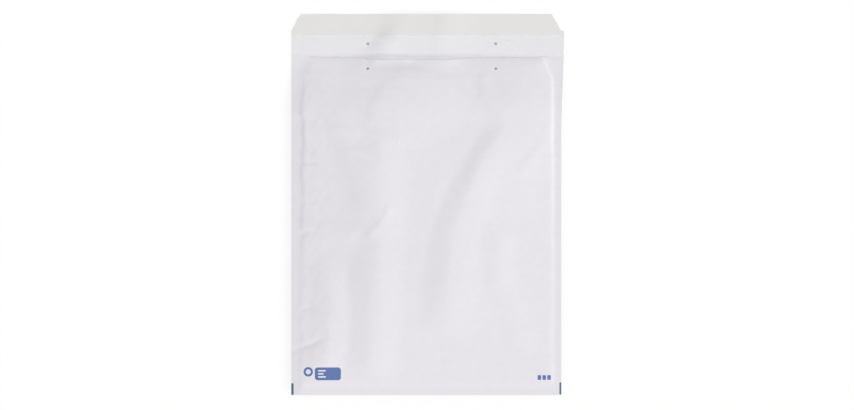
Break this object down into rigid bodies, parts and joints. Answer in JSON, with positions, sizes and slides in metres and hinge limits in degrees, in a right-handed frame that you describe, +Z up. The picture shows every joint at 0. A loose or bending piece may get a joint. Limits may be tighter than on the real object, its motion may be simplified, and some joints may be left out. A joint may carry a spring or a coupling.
{
  "type": "padded envelope",
  "caption": "White padded mailing envelope lying on its back, with an open mouth, a bubble film lining and an open flap with cut corners and a release strip.",
  "frame": {"origin": "middle of the footprint, on the surface that the envelope's back lies on", "axes": "+Y from the bottom fold to the flap, +Z up out of the front panel, +X to the right seen from the front"},
  "size_m": [0.2932, 0.4096, 0.0138],
  "materials": {
    "white_paper": "white kraft, machine smooth, softly creased",
    "bubble_film": "clear polyethylene film, glossy",
    "flap_glue": "clear pressure-sensitive hot melt, tacky and glossy",
    "release_paper": "siliconed white paper, satin"
  },
  "bodies": {
    "root": {"outer_paper": "white_paper", "bubble_liner": "bubble_film", "adhesive_strip": "flap_glue", "release_strip": "release_paper"}
  },
  "joints": []
}
